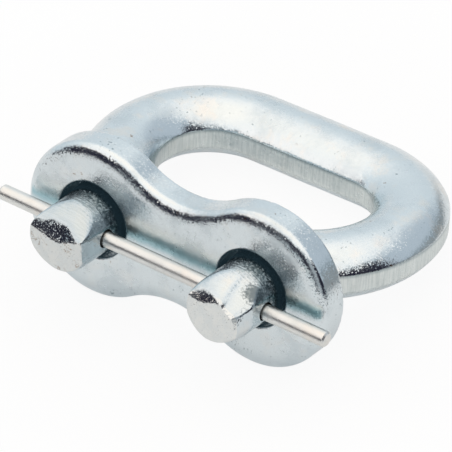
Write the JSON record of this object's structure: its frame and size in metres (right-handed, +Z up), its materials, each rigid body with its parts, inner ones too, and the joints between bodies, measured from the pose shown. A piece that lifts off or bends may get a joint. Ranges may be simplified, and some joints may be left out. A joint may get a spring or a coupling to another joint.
{
  "type": "chain connecting link",
  "caption": "Forged bow closed by a waisted side plate on two stubs and held by a cross pin, for joining the ends of a round-link chain.",
  "frame": {"origin": "middle of the eye, halfway between the side plate and the closed side of the bow, on the bow's middle plane", "axes": "+X along the side plate and the cross pin, +Z up with the link lying on the ground on its plate's two lobes and its bow's closed side, +Y level, from the plate towards the closed side"},
  "size_m": [0.0586, 0.0517, 0.0253],
  "materials": {
    "plated_forging": "zinc plated, semi-gloss, forged grain",
    "plated_plate": "zinc plated, semi-gloss, fine mottle",
    "plated_wire": "zinc plated, smooth, drawn lengthwise"
  },
  "bodies": {
    "bow": {"bow": "plated_forging"},
    "side_plate": {"side_plate": "plated_plate"},
    "cross_pin": {"cross_pin": "plated_wire"}
  },
  "joints": [
    {"name": "side_plate_slide", "type": "slide", "parent": "bow", "child": "side_plate", "axis": [0, -0.9722, 0.234], "range_m": [0, 0.00145]},
    {"name": "cross_pin_slide", "type": "slide", "parent": "bow", "child": "cross_pin", "axis": [0.9998, -0.0049, -0.0204], "range_m": [-0.045, 0.045]}
  ]
}
